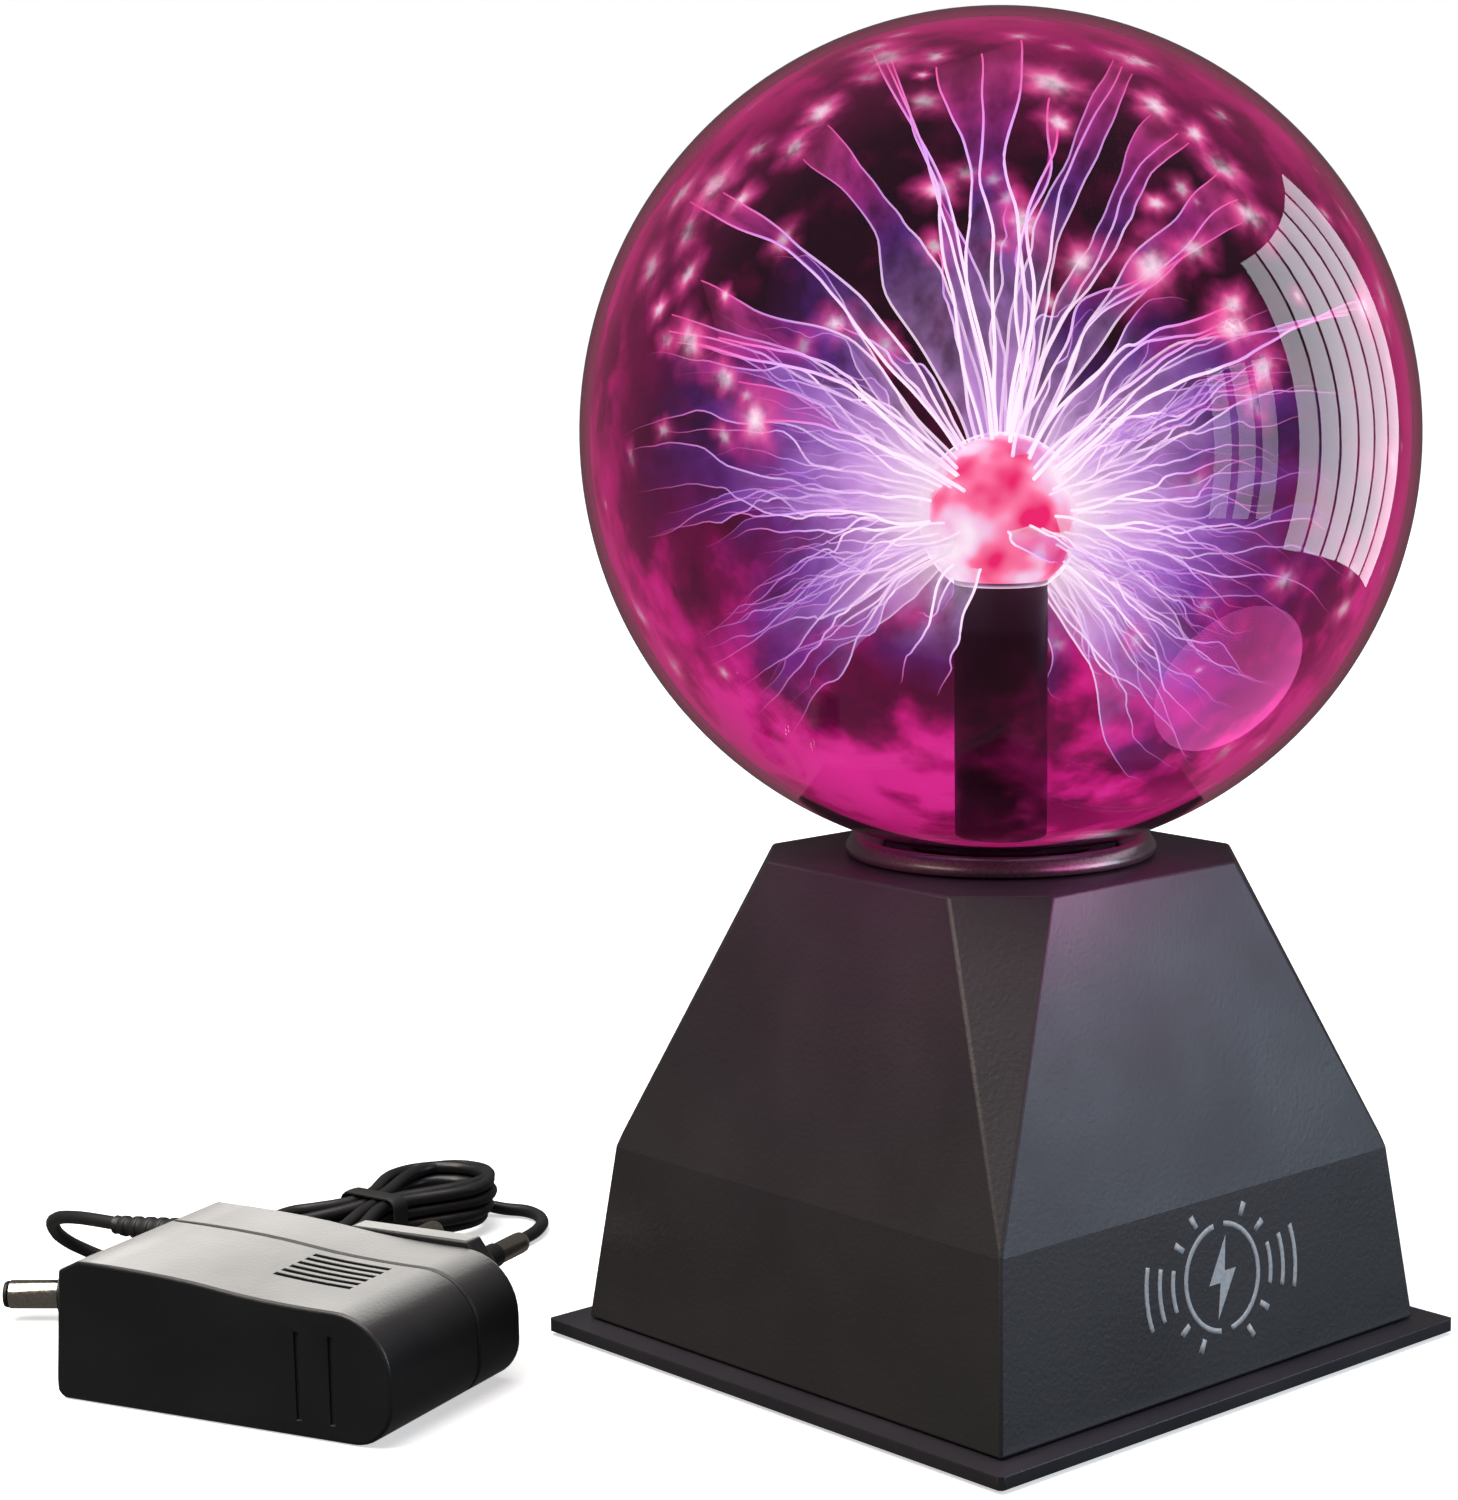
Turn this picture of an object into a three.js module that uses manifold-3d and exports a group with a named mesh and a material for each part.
// A 150 mm plasma ball: a glass globe with a central electrode, on a faceted plastic base that
// holds its high-voltage driver board, with its mains adapter and low-voltage lead beside it.
// Millimetres, +Z up. The origin is the middle of the base's footprint, on the table.
import * as THREE from "three";
import { ConvexGeometry } from "three/addons/geometries/ConvexGeometry.js";
import { mergeVertices } from "three/addons/utils/BufferGeometryUtils.js";
import Module from "manifold-3d";

// ---- Driving dimensions ----
const GAP = 0.3; // clearance between a piece and its neighbour

const GLOBE_R = 75; // outside radius of the glass globe
const GLASS = 1.6; // wall of the globe
const NECK_R = 17; // outside radius of the globe's neck

const PLATE_SIDE = 121; // square foot plate
const PLATE_T = 2.4;
const FOOT_PROUD = 0.6; // how far the rubber feet stand out of the plate

const WALL = 2.2; // wall of the base housing
const FOOT_HALF = 55; // half side of the housing where it meets the foot plate
const STAGE_HALF = 51; // half side at the break line between its two stages
const TOP_HALF = 36.4; // half side of the small octagonal top
const CORNER_CUT = 12.9; // how much the corner facets take off each side of the top
const STAGE_Z = 36.5; // height of the break line
const TOP_Z = 92.5; // height of the octagonal top

const ELECTRODE_R = 14.2; // glass bulb in the middle of the globe
const STEM_R = 8.5; // glass tube that carries the bulb

const BOARD_Z = 11.3; // underside of the circuit board
const BOARD_T = 1.6;

const SWITCH_ANGLE = 12; // degrees that the rocker leans to either side

const ADAPTER_LENGTH = 71;
const ADAPTER_DEPTH = 42;
const ADAPTER_HEIGHT = 26;
const ADAPTER_CORNER = [-145, 94, 0]; // its near left lower corner
const ADAPTER_TURN = -69; // degrees about +Z
const CORD_D = 2.6; // low-voltage lead
const PIN_PITCH = 19; // between the two mains pins

// ---- Sizes worked out from them ----
const PLATE_TOP = FOOT_PROUD + PLATE_T;
const HOUSING_Z = PLATE_TOP + GAP;
const GLOBE_Z = TOP_Z + GLOBE_R + 0.2; // height of the globe's centre
const NECK_BOTTOM = TOP_Z - 22.5;
const ELECTRODE_Z = GLOBE_Z - 13.7;
const REAR_TILT = Math.atan((FOOT_HALF - STAGE_HALF) / (STAGE_Z - HOUSING_Z));
const PANEL_Z = 19.5; // height of the jack and the switch on the rear wall
const PANEL_Y = FOOT_HALF - (PANEL_Z - HOUSING_Z) * Math.tan(REAR_TILT);
const SCREW_OFFSET = 43.5; // of the four base screws, from the middle, along X and Y
const degrees = THREE.MathUtils.degToRad;

// ---- Materials ----
const plain = (color, roughness, metalness = 0) =>
  new THREE.MeshStandardMaterial({ color, roughness, metalness });
const glass = () =>
  new THREE.MeshStandardMaterial({ color: 0xd8c8d4, roughness: 0.05, transparent: true, opacity: 0.3 });
const BLACK_ABS = 0x35332f;
const BLACK_PLASTIC = 0x1c1c1e;
const STEEL = 0xb8b8b4;

// ---- Booleans ----
const wasm = await Module();
wasm.setup();

function solidOf(geometry) {
  const bare = geometry.clone();
  bare.deleteAttribute("normal");
  bare.deleteAttribute("uv");
  const merged = mergeVertices(bare, 1e-4);
  const mesh = new wasm.Mesh({
    numProp: 3,
    vertProperties: merged.attributes.position.array,
    triVerts: new Uint32Array(merged.index.array),
  });
  return new wasm.Manifold(mesh);
}

function geometryOf(solid) {
  const mesh = solid.getMesh();
  const geometry = new THREE.BufferGeometry();
  geometry.setAttribute("position", new THREE.BufferAttribute(new Float32Array(mesh.vertProperties), 3));
  geometry.setIndex(new THREE.BufferAttribute(new Uint32Array(mesh.triVerts), 1));
  geometry.computeVertexNormals();
  return geometry;
}

const cut = (body, ...tools) =>
  geometryOf(tools.reduce((left, tool) => left.subtract(solidOf(tool)), solidOf(body)));
const join = (body, ...others) =>
  geometryOf(others.reduce((sum, other) => sum.add(solidOf(other)), solidOf(body)));
const common = (a, b) => geometryOf(solidOf(a).intersect(solidOf(b)));

// ---- Shapes ----
// A solid of revolution about Z from [radius, height] points.
function turned(profile, segments = 32) {
  const points = profile.map(([r, z]) => new THREE.Vector2(r, z));
  return new THREE.LatheGeometry(points, segments).rotateX(Math.PI / 2);
}

// A ring of revolution about Z, whose profile closes on itself.
const turnedRing = (profile, segments) => turned([...profile, profile[0]], segments);

// A round bar or disc along Z from z0 to z1.
function round(r, z0, z1, x = 0, y = 0, segments = 20) {
  const bar = new THREE.CylinderGeometry(r, r, z1 - z0, segments).rotateX(Math.PI / 2);
  return bar.translate(x, y, (z0 + z1) / 2);
}

// A box from its lowest to its highest corner.
function block(x0, x1, y0, y1, z0, z1) {
  const box = new THREE.BoxGeometry(x1 - x0, y1 - y0, z1 - z0);
  return box.translate((x0 + x1) / 2, (y0 + y1) / 2, (z0 + z1) / 2);
}

// [radius, height] points along an arc about (0, centre), from one angle to another, measured from +R.
function arc(radius, centre, from, to, steps) {
  return Array.from({ length: steps + 1 }, (_, i) => {
    const a = from + ((to - from) * i) / steps;
    return [Math.max(0, radius * Math.cos(a)), centre + radius * Math.sin(a)];
  });
}

function roundedRectangle(width, height, r, cx = 0, cy = 0) {
  const shape = new THREE.Shape();
  const x = cx - width / 2;
  const y = cy - height / 2;
  shape.moveTo(x + r, y);
  shape.lineTo(x + width - r, y);
  shape.absarc(x + width - r, y + r, r, -Math.PI / 2, 0);
  shape.lineTo(x + width, y + height - r);
  shape.absarc(x + width - r, y + height - r, r, 0, Math.PI / 2);
  shape.lineTo(x + r, y + height);
  shape.absarc(x + r, y + height - r, r, Math.PI / 2, Math.PI);
  shape.lineTo(x, y + r);
  shape.absarc(x + r, y + r, r, Math.PI, 1.5 * Math.PI);
  return shape;
}

// A flat outline made thick, from z0 to z1.
function slab(shape, z0, z1, curveSegments = 4) {
  const made = new THREE.ExtrudeGeometry(shape, { depth: z1 - z0, bevelEnabled: false, curveSegments });
  return made.translate(0, 0, z0);
}

// A round tube along a smooth line through points.
function tube(points, diameter, steps, sides = 8) {
  const line = new THREE.CatmullRomCurve3(points.map((p) => new THREE.Vector3(...p)), false, "centripetal");
  const section = new THREE.Shape();
  for (let i = 0; i < sides; i++) {
    const a = (2 * Math.PI * i) / sides;
    const at = [(Math.cos(a) * diameter) / 2, (Math.sin(a) * diameter) / 2];
    if (i) section.lineTo(...at);
    else section.moveTo(...at);
  }
  return new THREE.ExtrudeGeometry(section, { steps, extrudePath: line, bevelEnabled: false });
}

// ---- The tree ----
const plasmaBall = new THREE.Group();

function add(name, geometry, material, parent = plasmaBall, place = [0, 0, 0]) {
  const mesh = new THREE.Mesh(geometry, material);
  mesh.name = name;
  mesh.position.set(...place);
  parent.add(mesh);
  return mesh;
}

// ---- Base housing ----
// The convex outer form, or the hollow inside it: a square foot, a square break line and an octagonal top.
function facetedForm(inset, z0, zTop) {
  const slope = (TOP_HALF - STAGE_HALF) / (TOP_Z - STAGE_Z);
  const topHalf = TOP_HALF + slope * (zTop - TOP_Z) - inset;
  const corner = topHalf - CORNER_CUT;
  const points = [];
  for (const sx of [-1, 1]) {
    for (const sy of [-1, 1]) {
      points.push([sx * (FOOT_HALF - inset), sy * (FOOT_HALF - inset), z0]);
      points.push([sx * (STAGE_HALF - inset), sy * (STAGE_HALF - inset), STAGE_Z]);
      points.push([sx * topHalf, sy * corner, zTop]);
      points.push([sx * corner, sy * topHalf, zTop]);
    }
  }
  return new ConvexGeometry(points.map((p) => new THREE.Vector3(...p)));
}

const CLAMP_BOSSES = [90, 210, 330].map((angle) => [
  29 * Math.cos(degrees(angle)),
  29 * Math.sin(degrees(angle)),
]);
const COLLAR_HOLE_R = 23.4;
const JACK_X = -18;
const SWITCH_X = 18;
const JACK_HOLE_R = 4.9;
const SWITCH_HOLE = [15, 18.8]; // wide, high

// Turns a shape drawn about the rear panel's own axes, +Y out of the wall, to its place on the wall.
function onRearWall(geometry, x) {
  return geometry.rotateX(REAR_TILT).translate(x, PANEL_Y, PANEL_Z);
}

function baseHousing() {
  const [wide, high] = SWITCH_HOLE;
  const outer = facetedForm(0, HOUSING_Z, TOP_Z);
  const shell = cut(
    outer,
    facetedForm(WALL, HOUSING_Z - 1, TOP_Z - WALL),
    round(COLLAR_HOLE_R, TOP_Z - 10, TOP_Z + 1, 0, 0, 32),
    onRearWall(round(JACK_HOLE_R, -8, 8).rotateX(Math.PI / 2), JACK_X),
    onRearWall(block(-wide / 2, wide / 2, -8, 8, -high / 2, high / 2), SWITCH_X),
  );
  const inside = [];
  const pilots = [];
  for (const sx of [-1, 1]) {
    for (const sy of [-1, 1]) {
      const [x, y] = [sx * SCREW_OFFSET, sy * SCREW_OFFSET];
      inside.push(round(4.2, HOUSING_Z, 34, x, y, 12));
      inside.push(block(Math.min(x, sx * 54), Math.max(x, sx * 54), y - 1, y + 1, HOUSING_Z + 2, 32));
      inside.push(block(x - 1, x + 1, Math.min(y, sy * 54), Math.max(y, sy * 54), HOUSING_Z + 2, 32));
      pilots.push(round(1.6, HOUSING_Z - 1, HOUSING_Z + 15, x, y, 8));
    }
  }
  for (const [x, y] of CLAMP_BOSSES) {
    inside.push(round(2.8, TOP_Z - WALL - 5, TOP_Z - 1, x, y, 10));
    pilots.push(round(1.2, TOP_Z - WALL - 6, TOP_Z - 1.2, x, y, 8));
  }
  return cut(join(shell, ...inside.map((piece) => common(piece, outer))), ...pilots);
}
add("base_housing", baseHousing(), plain(BLACK_ABS, 0.55));

// ---- Foot plate, feet and screws ----
const FOOT_OFFSET = 52;
const POSTS = [
  [-24, -20],
  [24, -20],
  [-24, 20],
  [24, 20],
];

function footPlate() {
  let plate = slab(roundedRectangle(PLATE_SIDE, PLATE_SIDE, 1.2), FOOT_PROUD, PLATE_TOP, 2);
  const posts = POSTS.map(([x, y]) => round(3, PLATE_TOP - 0.5, BOARD_Z - GAP, x, y, 10));
  plate = join(plate, ...posts);
  const holes = POSTS.map(([x, y]) => round(1.3, PLATE_TOP, BOARD_Z, x, y, 8));
  for (const sx of [-1, 1]) {
    for (const sy of [-1, 1]) {
      holes.push(round(2, 0, 4, sx * SCREW_OFFSET, sy * SCREW_OFFSET, 10));
      holes.push(round(3.8, 0, FOOT_PROUD + 1.2, sx * SCREW_OFFSET, sy * SCREW_OFFSET, 12));
      holes.push(round(5.5, 0, FOOT_PROUD + 1.2, sx * FOOT_OFFSET, sy * FOOT_OFFSET, 16));
    }
  }
  for (const row of [-10, -5, 0, 5, 10]) holes.push(block(-14, 14, row - 1.1, row + 1.1, 0, 4));
  return cut(plate, ...holes);
}
add("foot_plate", footPlate(), plain(0x2c2b2e, 0.5));

const CORNERS = {
  front_left: [-1, -1],
  front_right: [1, -1],
  rear_left: [-1, 1],
  rear_right: [1, 1],
};
for (const [corner, [sx, sy]] of Object.entries(CORNERS)) {
  const foot = round(5, 0, FOOT_PROUD + 1.2 - GAP, 0, 0, 16);
  add(`foot_${corner}`, foot, plain(0x151515, 0.9), plasmaBall, [sx * FOOT_OFFSET, sy * FOOT_OFFSET, 0]);
}

// A pan-head screw pointing up, its head's flat underside at z = 0 and its tip at z = length.
function screw(headR, headH, shankR, length) {
  return turned(
    [
      [0, -headH],
      [headR * 0.8, -headH],
      [headR, -headH * 0.55],
      [headR, 0],
      [shankR, 0],
      [shankR, length - shankR],
      [shankR * 0.3, length],
      [0, length],
    ],
    10,
  );
}
for (const [corner, [sx, sy]] of Object.entries(CORNERS)) {
  const place = [sx * SCREW_OFFSET, sy * SCREW_OFFSET, FOOT_PROUD + 1.2 - GAP];
  add(`base_screw_${corner}`, screw(3.2, 0.8, 1.3, 14), plain(STEEL, 0.35, 1), plasmaBall, place);
}

// ---- Globe, with its neck open at the bottom as the glassblower leaves it ----
const GLOBE_SEGMENTS = 32;
const neckAngle = (r) => -Math.acos(r / GLOBE_R);
function globe() {
  const innerR = GLOBE_R - GLASS;
  const neckInside = NECK_R - GLASS;
  const outside = turned(
    [[0, NECK_BOTTOM], [NECK_R, NECK_BOTTOM], ...arc(GLOBE_R, GLOBE_Z, neckAngle(NECK_R), Math.PI / 2, 15)],
    GLOBE_SEGMENTS,
  );
  const innerStart = -Math.acos(neckInside / innerR);
  const inside = turned(
    [
      [0, NECK_BOTTOM - 1],
      [neckInside, NECK_BOTTOM - 1],
      ...arc(innerR, GLOBE_Z, innerStart, Math.PI / 2, 15),
    ],
    GLOBE_SEGMENTS,
  );
  return cut(outside, inside);
}
add("glass_globe", globe(), glass());

// ---- Electrode: a glass tube and bulb sealed into the neck, with the conductor inside ----
function electrodeGlass() {
  const bulbFoot = -Math.acos(STEM_R / ELECTRODE_R);
  const flareR = NECK_R - GLASS - GAP;
  const outside = turned(
    [
      [0, NECK_BOTTOM],
      [flareR, NECK_BOTTOM],
      [flareR, NECK_BOTTOM + 1.5],
      [STEM_R + 2.2, NECK_BOTTOM + 3.5],
      [STEM_R, NECK_BOTTOM + 8],
      ...arc(ELECTRODE_R, ELECTRODE_Z, bulbFoot, Math.PI / 2, 8),
    ],
    20,
  );
  const bore = STEM_R - 1.2;
  const hollowR = ELECTRODE_R - 1.2;
  const inside = turned(
    [
      [0, NECK_BOTTOM - 1],
      [bore, NECK_BOTTOM - 1],
      ...arc(hollowR, ELECTRODE_Z, -Math.acos(bore / hollowR), Math.PI / 2, 8),
    ],
    20,
  );
  return cut(outside, inside);
}
add("electrode_glass", electrodeGlass(), glass());

const SLEEVE_TOP = ELECTRODE_Z - 13.2;
const coreR = ELECTRODE_R - 1.2 - 0.5;
const core = turned(arc(coreR, ELECTRODE_Z, -Math.PI / 2, Math.PI / 2, 8), 16);
add("electrode_core", core, plain(0xc8a4b8, 0.4, 1));
const sleeveProfile = [
  [5.6, NECK_BOTTOM + 2],
  [7, NECK_BOTTOM + 2],
  [7, SLEEVE_TOP],
  [5.6, SLEEVE_TOP],
];
add("stem_sleeve", turnedRing(sleeveProfile, 16), plain(0x0c0b0d, 0.7));
add("electrode_rod", round(1.5, NECK_BOTTOM + 0.6, SLEEVE_TOP, 0, 0, 12), plain(STEEL, 0.3, 1));
const capProfile = [
  [0, NECK_BOTTOM - 8],
  [5, NECK_BOTTOM - 8],
  [6.6, NECK_BOTTOM - 6.5],
  [6.6, NECK_BOTTOM - GAP],
  [0, NECK_BOTTOM - GAP],
];
add("contact_cap", turned(capProfile, 20), plain(0x8a7a3a, 0.35, 1));

// ---- Collar: trim ring with a skirt through the top, rubber gasket, clamp ring and its screws ----
const SKIRT_R = COLLAR_HOLE_R - GAP;
const SKIRT_BORE = SKIRT_R - 1.5;
const collarProfile = [
  [SKIRT_BORE, TOP_Z - 7.6],
  [SKIRT_R, TOP_Z - 7.6],
  [SKIRT_R, TOP_Z + GAP],
  [27.9, TOP_Z + GAP],
  [28.5, TOP_Z + 0.8],
  [28.6, TOP_Z + 1.7],
  [28.2, TOP_Z + 2.8],
  [27.2, TOP_Z + 3.6],
  [25.9, TOP_Z + 3.8],
  [24.9, TOP_Z + 3.3],
  [SKIRT_BORE, TOP_Z + 1.2],
];
add("collar_ring", turnedRing(collarProfile, 32), plain(0x6e625a, 0.35, 0.8));
const gasketProfile = [
  [NECK_R + GAP, TOP_Z - 7],
  [SKIRT_BORE - GAP, TOP_Z - 7],
  [SKIRT_BORE - GAP, TOP_Z + 1.6],
  [NECK_R + GAP, TOP_Z + 1.6],
];
add("neck_gasket", turnedRing(gasketProfile, 20), plain(0x1a1819, 0.9));
const CLAMP_TOP = TOP_Z - WALL - 5 - GAP;
function clampRing() {
  const ring = turnedRing(
    [
      [NECK_R + GAP, CLAMP_TOP - 3],
      [32, CLAMP_TOP - 3],
      [32, CLAMP_TOP - 0.6],
      [21.2, CLAMP_TOP - 0.6],
      [21.2, CLAMP_TOP - GAP],
      [NECK_R + GAP, CLAMP_TOP - GAP],
    ],
    24,
  );
  const lugs = CLAMP_BOSSES.map(([x, y]) => round(2.8, CLAMP_TOP - 1, CLAMP_TOP, x, y, 10));
  const holes = CLAMP_BOSSES.map(([x, y]) => round(1.5, CLAMP_TOP - 4, CLAMP_TOP + 1, x, y, 8));
  return cut(join(ring, ...lugs), ...holes);
}
add("clamp_ring", clampRing(), plain(0x2a2a2a, 0.6));
CLAMP_BOSSES.forEach(([x, y], i) => {
  const place = [x, y, CLAMP_TOP - 3 - GAP];
  add(`clamp_screw_${i + 1}`, screw(2.4, 1.2, 1, 7), plain(STEEL, 0.35, 1), plasmaBall, place);
});

// ---- Driver board and its parts ----
const BOARD_TOP = BOARD_Z + BOARD_T;
const PART_Z = BOARD_TOP + GAP;
function circuitBoard() {
  const holes = POSTS.map(([x, y]) => round(1.5, BOARD_Z - 1, BOARD_TOP + 1, x, y, 8));
  return cut(slab(roundedRectangle(60, 52, 2), BOARD_Z, BOARD_TOP, 2), ...holes);
}
add("circuit_board", circuitBoard(), plain(0x2f6b3a, 0.5));
POSTS.forEach(([x, y], i) => {
  const down = screw(2.4, 1.2, 1, 6).rotateX(Math.PI);
  add(`board_screw_${i + 1}`, down, plain(STEEL, 0.35, 1), plasmaBall, [x, y, PART_Z]);
});

// The flyback transformer: a ferrite frame standing on the board, with the potted winding round one leg.
const FLYBACK_X = -8;
const CORE_HEIGHT = 34;
function ferriteFrame() {
  const shape = roundedRectangle(32, CORE_HEIGHT, 0.8, 12, CORE_HEIGHT / 2);
  shape.holes.push(roundedRectangle(16, CORE_HEIGHT - 14, 0.8, 12, CORE_HEIGHT / 2));
  return slab(shape, -4, 4, 2).rotateX(Math.PI / 2).translate(FLYBACK_X, 0, PART_Z);
}
add("flyback_core", ferriteFrame(), plain(0x3a3a3d, 0.6));
const windingProfile = [
  [6, 7 + GAP],
  [10.5, 7 + GAP],
  [12, 9],
  [12, CORE_HEIGHT - 9],
  [10.5, CORE_HEIGHT - 7 - GAP],
  [6, CORE_HEIGHT - 7 - GAP],
];
const winding = turnedRing(windingProfile, 16);
add("flyback_winding", winding, plain(0x1e1c22, 0.4), plasmaBall, [FLYBACK_X, 0, PART_Z]);

function heatSink() {
  const shape = new THREE.Shape();
  shape.moveTo(-11, 0);
  shape.lineTo(11, 0);
  shape.lineTo(11, 12);
  shape.lineTo(9.5, 12);
  shape.lineTo(9.5, 1.8);
  shape.lineTo(-9.5, 1.8);
  shape.lineTo(-9.5, 12);
  shape.lineTo(-11, 12);
  shape.closePath();
  return slab(shape, 0, 22);
}
add("heat_sink", heatSink(), plain(0xb4b6b8, 0.4, 1), plasmaBall, [9, 12, PART_Z]);
const transistor = join(block(-5, 5, 0, 4.4, 4, 13), block(-5, 5, 0, 1.3, 12, 19));
add("driver_transistor", transistor, plain(0x1b1b1b, 0.5), plasmaBall, [9, 14.1, PART_Z]);
const can = turned([[0, 0], [4.8, 0], [5, 0.4], [5, 11.6], [4.6, 12], [0, 12]], 14);
add("filter_capacitor", can, plain(0x27324a, 0.4), plasmaBall, [-23, 8, PART_Z]);

// The lead that carries the high voltage up to the electrode's contact cap.
const HV_LEAD = [
  [FLYBACK_X + 28.5, 0, PART_Z + 20],
  [FLYBACK_X + 32, 0, PART_Z + 20],
  [27, 1, 40],
  [25, 2, 46],
  [19, 3, 51],
  [9, 2, 52],
  [2, 0.4, 54],
  [0, 0, 58],
  [0, 0, NECK_BOTTOM - 8 - GAP],
];
add("high_voltage_lead", tube(HV_LEAD, 3, 16), plain(0x8c1d22, 0.5));

// ---- Power jack and rocker switch on the rear wall ----
const rearPanel = new THREE.Group();
rearPanel.position.set(0, PANEL_Y, PANEL_Z);
rearPanel.rotation.x = REAR_TILT;
plasmaBall.add(rearPanel);

// Built about Z, then laid along the panel's +Y, which points out of the wall.
const laidOutwards = (geometry) => geometry.rotateX(-Math.PI / 2);
const JACK_BORE = 2.85;
const JACK_DEPTH = 9;
function jackBody() {
  const outer = turned(
    [
      [0, -11],
      [JACK_HOLE_R - GAP, -11],
      [JACK_HOLE_R - GAP, GAP],
      [6, GAP],
      [6, 1.3],
      [5.6, 1.7],
      [0, 1.7],
    ],
    24,
  );
  const bore = turned([[0, 1.7 - JACK_DEPTH], [JACK_BORE, 1.7 - JACK_DEPTH], [JACK_BORE, 3], [0, 3]], 16);
  return laidOutwards(cut(outer, bore));
}
add("power_jack", jackBody(), plain(BLACK_PLASTIC, 0.4), rearPanel, [JACK_X, 0, 0]);
const jackPin = turned([[0, 2 - JACK_DEPTH], [1, 2 - JACK_DEPTH], [1, 0], [0.6, 0.6], [0, 0.6]], 12);
add("jack_contact_pin", laidOutwards(jackPin), plain(0xc9b070, 0.3, 1), rearPanel, [JACK_X, 0, 0]);

// The rocker turns about a pin along X that sits just inside the bezel.
const PIVOT_Y = -1.5;
const ROCKER_HALF = 7.3;
const ROCKER_WIDE = 9.6;
function switchBody() {
  const bezel = block(-9, 9, GAP, 2.2, -11.5, 11.5);
  const box = block(-7.2, 7.2, -13, GAP + 0.2, -9.1, 9.1);
  const pocket = block(-5.2, 5.2, -9, 3, -8.5, 8.5);
  const pinHole = round(1.3, -6.2, 6.2, 0, 0, 12).rotateY(Math.PI / 2).translate(0, PIVOT_Y, 0);
  return cut(join(bezel, box), pocket, pinHole);
}
add("switch_body", switchBody(), plain(BLACK_PLASTIC, 0.45), rearPanel, [SWITCH_X, 0, 0]);

// Two faces that meet in a shallow V over the pivot, on a half-round belly, with a stub axle each side.
function rocker() {
  const rise = Math.tan(degrees(SWITCH_ANGLE)) * ROCKER_HALF;
  const shape = new THREE.Shape();
  shape.moveTo(-ROCKER_HALF, 1.2);
  shape.lineTo(-ROCKER_HALF, 2.7 + rise);
  shape.lineTo(0, 2.7);
  shape.lineTo(ROCKER_HALF, 2.7 + rise);
  shape.lineTo(ROCKER_HALF, 1.2);
  shape.lineTo(4.6, 0);
  shape.absarc(0, 0, 4.6, 0, -Math.PI, true);
  const body = slab(shape, -ROCKER_WIDE / 2, ROCKER_WIDE / 2, 8);
  const axle = round(1, -ROCKER_WIDE / 2 - 1.1, ROCKER_WIDE / 2 + 1.1, 0, 0, 12);
  return join(body, axle).rotateY(Math.PI / 2).rotateX(degrees(SWITCH_ANGLE));
}
add("power_rocker", rocker(), plain(0x232325, 0.35), rearPanel, [SWITCH_X, PIVOT_Y, 0]);

// Supply wires from the jack to the switch and the board.
const WIRE_D = 1.6;
const jackBack = [JACK_X, PANEL_Y - 11.6, PANEL_Z - 1.2];
const wireRed = [jackBack, [-18, 36, 18], [-17, 31, 17], [-16, 26, 16], [-15, 23, PART_Z + WIRE_D / 2]];
add("supply_wire_red", tube(wireRed, WIRE_D, 8), plain(0xa01818, 0.5));
const switchBack = [SWITCH_X, PANEL_Y - 14.8, PANEL_Z - 1.6];
const wireBlack = [
  switchBack,
  [17, 33.5, 20],
  [14, 30, 22],
  [6, 33, 24],
  [0, 31, 20],
  [-5, 24, PART_Z + WIRE_D / 2],
];
add("supply_wire_black", tube(wireBlack, WIRE_D, 14), plain(0x101010, 0.5));

// ---- Mains adapter ----
// Drawn with X along its length from the lead's end, Y from the outer face towards the mains pins, Z up.
const adapter = new THREE.Group();
adapter.position.set(...ADAPTER_CORNER);
adapter.rotation.z = degrees(ADAPTER_TURN);
plasmaBall.add(adapter);

const SEAM_Y = 28; // where the pin-side cover meets the case
const SHELL = 2;

// The side profile: flat below, a low hump at the lead's end and a large round at the other.
function adapterProfile(inset) {
  const shape = new THREE.Shape();
  const right = ADAPTER_LENGTH - inset;
  const top = ADAPTER_HEIGHT - inset;
  const dip = top - 2.4;
  const bottomR = 8 - inset;
  const topR = 11 - inset;
  shape.moveTo(3, inset);
  shape.lineTo(right - bottomR, inset);
  shape.absarc(right - bottomR, inset + bottomR, bottomR, -Math.PI / 2, 0);
  shape.absarc(right - topR, dip - topR, topR, 0, Math.PI / 2);
  shape.bezierCurveTo(52, dip, 44, dip + 0.2, 36, dip + 1.1);
  shape.bezierCurveTo(28, top - 0.3, 18, top, 6 + inset, top);
  shape.lineTo(inset + 1.6, top - 2.2);
  shape.lineTo(inset, 3.4);
  shape.quadraticCurveTo(inset, inset, 3, inset);
  return shape;
}

// The profile made thick along Y from y0 to y1.
function adapterSlice(inset, y0, y1) {
  return slab(adapterProfile(inset), -y1, -y0, 5).rotateX(Math.PI / 2);
}

const RELIEF_AT = [37, 20.3]; // Y and Z of the lead's exit in the left end
function adapterCase() {
  const hollow = adapterSlice(SHELL, SHELL, SEAM_Y + 1);
  const grooves = [52, 59].map((x) => block(x - 0.5, x + 0.5, -1, 0.5, 3, 19));
  const vents = [0, 1, 2, 3, 4, 5].map((i) => block(39, 55, 12.2 + 2.4 * i, 13.4 + 2.4 * i, 20, 28));
  return cut(adapterSlice(0, 0, SEAM_Y), hollow, ...grooves, ...vents);
}
add("adapter_case", adapterCase(), plain(BLACK_PLASTIC, 0.4), adapter);

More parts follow.
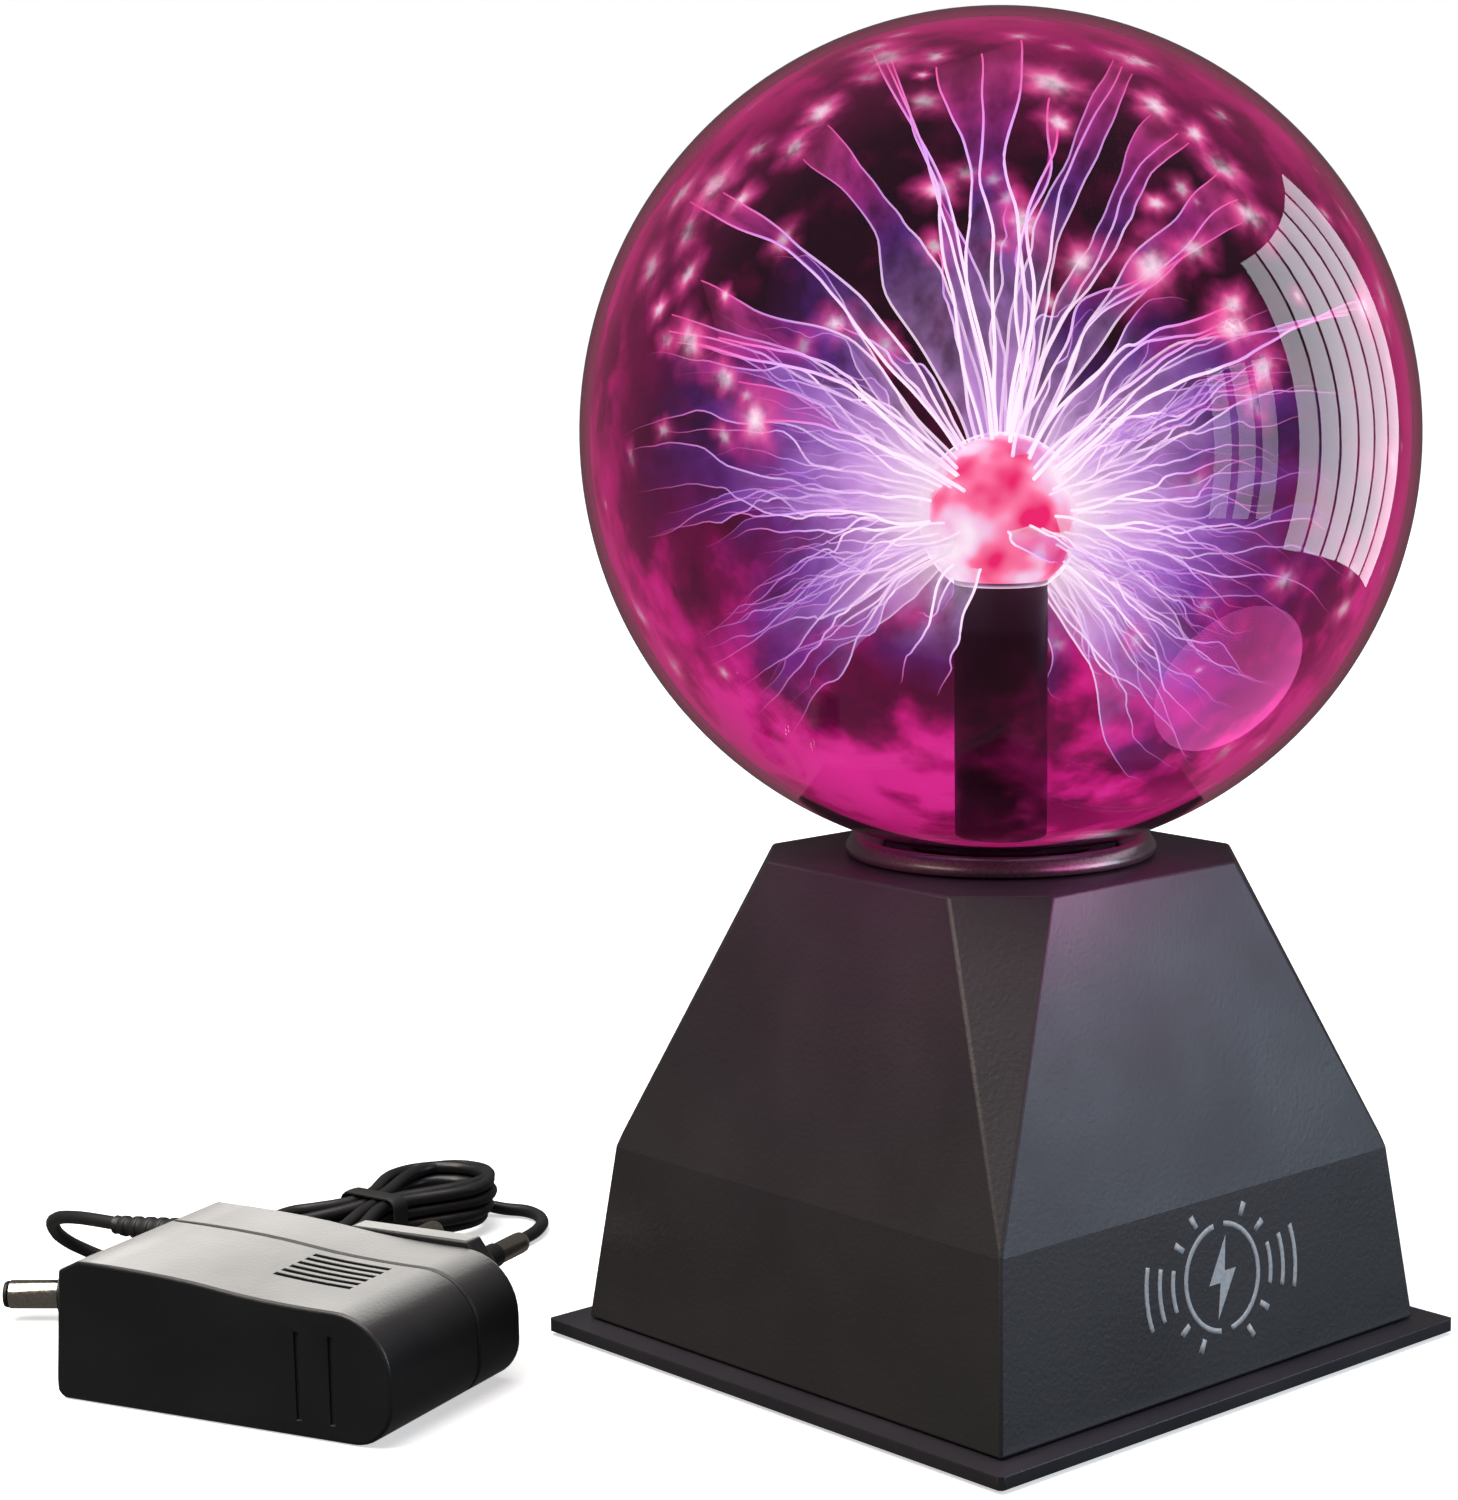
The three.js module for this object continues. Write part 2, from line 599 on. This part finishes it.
const BOSS_X = 47.5;
const BOSS_Z = 17.8;
const PIN_X = [BOSS_X - PIN_PITCH / 2, BOSS_X + PIN_PITCH / 2];
// A round bar along Y from y0 to y1.
function barAlongY(r, y0, y1, x, z, segments = 16) {
  return round(r, -y1, -y0, 0, 0, segments).rotateX(Math.PI / 2).translate(x, 0, z);
}
function adapterCover() {
  const hollow = adapterSlice(SHELL, SEAM_Y - 1, ADAPTER_DEPTH - SHELL);
  const exit = round(2.6, -3, 5, 0, 0, 16).rotateY(Math.PI / 2).translate(0, ...RELIEF_AT);
  const pinHoles = PIN_X.map((x) => barAlongY(2.6, ADAPTER_DEPTH - 4, ADAPTER_DEPTH + 1, x, BOSS_Z));
  return cut(adapterSlice(0, SEAM_Y + GAP, ADAPTER_DEPTH), hollow, exit, ...pinHoles);
}
add("adapter_cover", adapterCover(), plain(BLACK_PLASTIC, 0.4), adapter);

const BOSS_Y = ADAPTER_DEPTH + GAP;
const BOSS_DEEP = 4.5;
function plugBoss() {
  const shape = new THREE.Shape();
  const [half, tall, nose] = [17.5, 6.8, 12.5];
  shape.moveTo(BOSS_X - half, BOSS_Z);
  shape.lineTo(BOSS_X - nose, BOSS_Z - tall);
  shape.lineTo(BOSS_X + nose, BOSS_Z - tall);
  shape.lineTo(BOSS_X + half, BOSS_Z);
  shape.lineTo(BOSS_X + nose, BOSS_Z + tall);
  shape.lineTo(BOSS_X - nose, BOSS_Z + tall);
  shape.closePath();
  const boss = slab(shape, -BOSS_Y - BOSS_DEEP, -BOSS_Y).rotateX(Math.PI / 2);
  return cut(boss, ...PIN_X.map((x) => barAlongY(2.6, BOSS_Y - 1, BOSS_Y + BOSS_DEEP + 1, x, BOSS_Z)));
}
add("plug_boss", plugBoss(), plain(BLACK_PLASTIC, 0.5), adapter);

const PIN_LONG = 19;
PIN_X.forEach((x, i) => {
  const mouth = BOSS_Y + BOSS_DEEP;
  const tip = turned([[0, 0], [2, 0], [2, PIN_LONG - 1], [1.2, PIN_LONG], [0, PIN_LONG]], 14);
  const root = round(1.5, -mouth + ADAPTER_DEPTH - 6, 0.1, 0, 0, 14);
  const sleeveEnd = 9.5;
  const bare = common(tip, round(3, sleeveEnd + GAP, PIN_LONG + 1));
  const pin = join(bare, root, round(1.5, 0, sleeveEnd + 1, 0, 0, 14)).rotateX(-Math.PI / 2);
  add(`mains_pin_${i + 1}`, pin, plain(0xcdbf98, 0.3, 1), adapter, [x, mouth, BOSS_Z]);
  const sleeveProfile = [
    [1.8, -BOSS_DEEP - 3],
    [2.3, -BOSS_DEEP - 3],
    [2.3, 0],
    [2, 0.4],
    [2, sleeveEnd],
    [1.8, sleeveEnd],
  ];
  const sleeve = turnedRing(sleeveProfile, 14).rotateX(-Math.PI / 2);
  add(`pin_sleeve_${i + 1}`, sleeve, plain(0x121212, 0.5), adapter, [x, mouth, BOSS_Z]);
});

// The converter inside the adapter.
add("adapter_board", block(8, 60, 6, 34, 4, 5.6), plain(0x8c7a3c, 0.6), adapter);
add("adapter_transformer", block(28, 46, 10, 27, 5.9, 19.5), plain(0xc8a23c, 0.5), adapter);
const smoothing = can.clone().scale(0.9, 0.9, 1);
add("adapter_capacitor", smoothing, plain(0x22262e, 0.4), adapter, [18, 14, 5.9]);

// ---- Low-voltage lead ----
// The strain relief: a flanged tapered sleeve in the adapter's left end, pointing along -X.
function strainRelief(length, rootR, tipR) {
  const bore = CORD_D / 2 + GAP;
  return turnedRing([[bore, 0], [rootR, 0], [rootR, 2], [tipR, length], [bore, length]], 14);
}
const relief = strainRelief(14, 3, 2).rotateY(-Math.PI / 2);
add("adapter_strain_relief", relief, plain(0x161617, 0.6), adapter, [-GAP, ...RELIEF_AT]);

// From inside the strain relief's tip, in a drooping curve down to the table, and round to the hank.
const LEAD_TO_HANK = [
  [-114.9, 118.6, 20.4],
  [-116.32, 124.8, 20.3],
  [-117.52, 132.79, 19.6],
  [-116.67, 140.71, 17.5],
  [-113.7, 147.36, 14],
  [-109.18, 151.6, 9.6],
  [-103.8, 152.17, 5.8],
  [-99.35, 148.85, 3.2],
  [-96.94, 142.76, 1.9],
  [-96.03, 135.91, 1.5],
  [-95.04, 129.26, 1.5],
  [-92.98, 123.96, 1.8],
  [-89.38, 121.34, 2.3],
  [-85.42, 121.34, 2.8],
];
add("lead_to_hank", tube(LEAD_TO_HANK, CORD_D, 16), plain(0x18181a, 0.5));

// The hank: seven turns of the lead, pinched in at the tie, lying behind the adapter.
const HANK_MIDDLE = [-51.97, 128.34, 0];
const HANK_TURN = 13;
const HANK_LONG = 66;
const HANK_HALF = 12; // half its width over the end loops
const WAIST_HALF = 6.6; // and at the tie
const HANK_Z = 0.9;
const HANK_THICK = 10.4;
const hank = new THREE.Group();
hank.position.set(...HANK_MIDDLE);
hank.rotation.z = degrees(HANK_TURN);
plasmaBall.add(hank);
function hankOutline() {
  const shape = new THREE.Shape();
  const end = HANK_LONG / 2 - HANK_HALF;
  shape.absarc(end, 0, HANK_HALF, -Math.PI / 2, Math.PI / 2);
  shape.lineTo(5, WAIST_HALF);
  shape.lineTo(-5, WAIST_HALF);
  shape.lineTo(-end, HANK_HALF);
  shape.absarc(-end, 0, HANK_HALF, Math.PI / 2, 1.5 * Math.PI);
  shape.lineTo(-5, -WAIST_HALF);
  shape.lineTo(5, -WAIST_HALF);
  shape.closePath();
  return shape;
}
add("lead_hank", slab(hankOutline(), HANK_Z, HANK_Z + HANK_THICK, 8), plain(0x18181a, 0.5), hank);
function tieBand() {
  const bore = [2 * (WAIST_HALF + GAP), HANK_THICK + 2 * GAP];
  const band = roundedRectangle(bore[0] + 1.2, bore[1] + 1.2, 1.5, 0, HANK_Z + HANK_THICK / 2);
  band.holes.push(roundedRectangle(...bore, 1, 0, HANK_Z + HANK_THICK / 2));
  return slab(band, -2, 2, 3).rotateX(Math.PI / 2).rotateZ(Math.PI / 2);
}
add("hank_tie", tieBand(), plain(0x101012, 0.7), hank);

// From the hank's near side, round behind the adapter to the low-voltage plug.
const LEAD_TO_PLUG = [
  [-18.1, 130.11, 1.4],
  [-15.84, 125.02, 1.4],
  [-17.11, 118.65, 1.4],
  [-22.06, 113.14, 1.4],
  [-29.91, 109.11, 1.4],
  [-39.46, 105.92, 1.4],
  [-49.14, 103.59, 1.4],
  [-59.04, 102.18, 1.4],
  [-68.73, 101.82, 1.4],
  [-77.99, 102.04, 1.5],
  [-85.7, 103.24, 2.1],
  [-91.22, 105.08, 3.4],
  [-94.54, 107.13, 4.6],
  [-96.73, 109.18, 4.9],
];
add("lead_to_plug", tube(LEAD_TO_PLUG, CORD_D, 24), plain(0x18181a, 0.5));

// The barrel plug lies on the table behind the adapter's left end, its barrel pointing along its group's +X.
const PLUG_R = 4.8;
const lowVoltagePlug = new THREE.Group();
lowVoltagePlug.position.set(-96.45, 108.89, PLUG_R + 0.1);
lowVoltagePlug.rotation.z = degrees(135);
plasmaBall.add(lowVoltagePlug);
const RELIEF_LONG = 12;
const GRIP_LONG = 22;
const BARREL_LONG = 9.5;
const alongX = (geometry) => geometry.rotateY(Math.PI / 2);
const bootProfile = [
  [CORD_D / 2 + GAP, 0],
  [2, 0],
  [3.1, RELIEF_LONG - 1],
  [3.1, RELIEF_LONG],
  [CORD_D / 2 + GAP, RELIEF_LONG],
];
add("plug_strain_relief", alongX(turnedRing(bootProfile, 14)), plain(0x161617, 0.6), lowVoltagePlug);
const grip = turned(
  [
    [0, 0],
    [4.1, 0],
    [PLUG_R, 1.2],
    [PLUG_R, GRIP_LONG - 3],
    [4.2, GRIP_LONG],
    [0, GRIP_LONG],
  ],
  20,
);
add("plug_grip", alongX(grip), plain(0x161617, 0.5), lowVoltagePlug, [RELIEF_LONG + GAP, 0, 0]);
const BARREL_R = 2.75;
const barrel = turnedRing([[1.9, 0], [BARREL_R, 0], [BARREL_R, BARREL_LONG], [1.9, BARREL_LONG]], 18);
const barrelStart = RELIEF_LONG + GRIP_LONG + 2 * GAP;
add("plug_barrel", alongX(barrel), plain(0xb5aa9a, 0.25, 1), lowVoltagePlug, [barrelStart, 0, 0]);
const insulatorProfile = [
  [1.05, 0],
  [1.6, 0],
  [1.6, BARREL_LONG + GAP],
  [2.6, BARREL_LONG + GAP],
  [2.4, BARREL_LONG + 1],
  [1.05, BARREL_LONG + 1],
];
const insulator = alongX(turnedRing(insulatorProfile, 18));
add("plug_insulator", insulator, plain(0x0e0e0f, 0.5), lowVoltagePlug, [barrelStart, 0, 0]);

export default plasmaBall;
